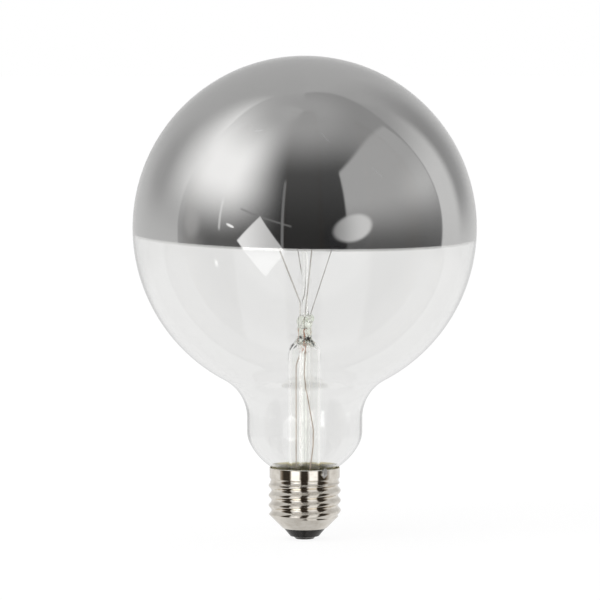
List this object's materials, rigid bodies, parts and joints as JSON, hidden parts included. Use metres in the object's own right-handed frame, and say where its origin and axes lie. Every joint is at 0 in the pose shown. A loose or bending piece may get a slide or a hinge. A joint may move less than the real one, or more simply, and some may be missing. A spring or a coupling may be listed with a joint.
{
  "type": "silver crown bulb",
  "caption": "Large clear globe lamp, mirrored inside above its equator, with a horseshoe filament on a glass stem and an Edison screw cap.",
  "frame": {"origin": "centre of the lower face of the cap's centre contact, on the lamp's axis", "axes": "+Z along the lamp's axis from the cap to the silvered crown; -Z points out of the contact into the holder; +X to the right and -Y towards the viewer in the pictured view"},
  "size_m": [0.125, 0.125, 0.176],
  "materials": {
    "clear_glass": "clear blown soda-lime glass, polished by the mould",
    "mirror_film": "vapour-deposited aluminium film, bright, seen through glass",
    "stem_glass": "clear lead glass, slightly grey-green in the pinch",
    "nickel_wire": "drawn nickel wire, dull",
    "molybdenum_wire": "thin grey molybdenum wire",
    "copper_clad_wire": "copper-clad seal wire, red where the glass wets it",
    "copper_wire": "soft copper wire, dull",
    "tungsten": "dark grey tungsten coil",
    "nickel_plate": "bright nickel plating, lightly handled",
    "black_glass": "opaque black insulator glass, glossy",
    "solder": "satin tin solder",
    "cement": "matt beige baked cement"
  },
  "bodies": {
    "root": {"glass_bulb": "clear_glass", "silver_crown": "mirror_film", "stem_flare": "stem_glass", "exhaust_tube": "stem_glass", "glass_arbor": "stem_glass", "filament": "tungsten", "support_front": "molybdenum_wire", "support_back": "molybdenum_wire", "short_support_1": "molybdenum_wire", "short_support_2": "molybdenum_wire", "short_support_3": "molybdenum_wire", "inner_lead_centre": "nickel_wire", "inner_lead_side": "nickel_wire", "seal_wire_centre": "copper_clad_wire", "seal_wire_side": "copper_clad_wire", "outer_lead_centre": "copper_wire", "outer_lead_side": "copper_wire", "screw_shell": "nickel_plate", "cap_insulator": "black_glass", "centre_contact": "nickel_plate", "centre_solder": "solder", "side_solder": "solder", "capping_cement": "cement"}
  },
  "joints": []
}
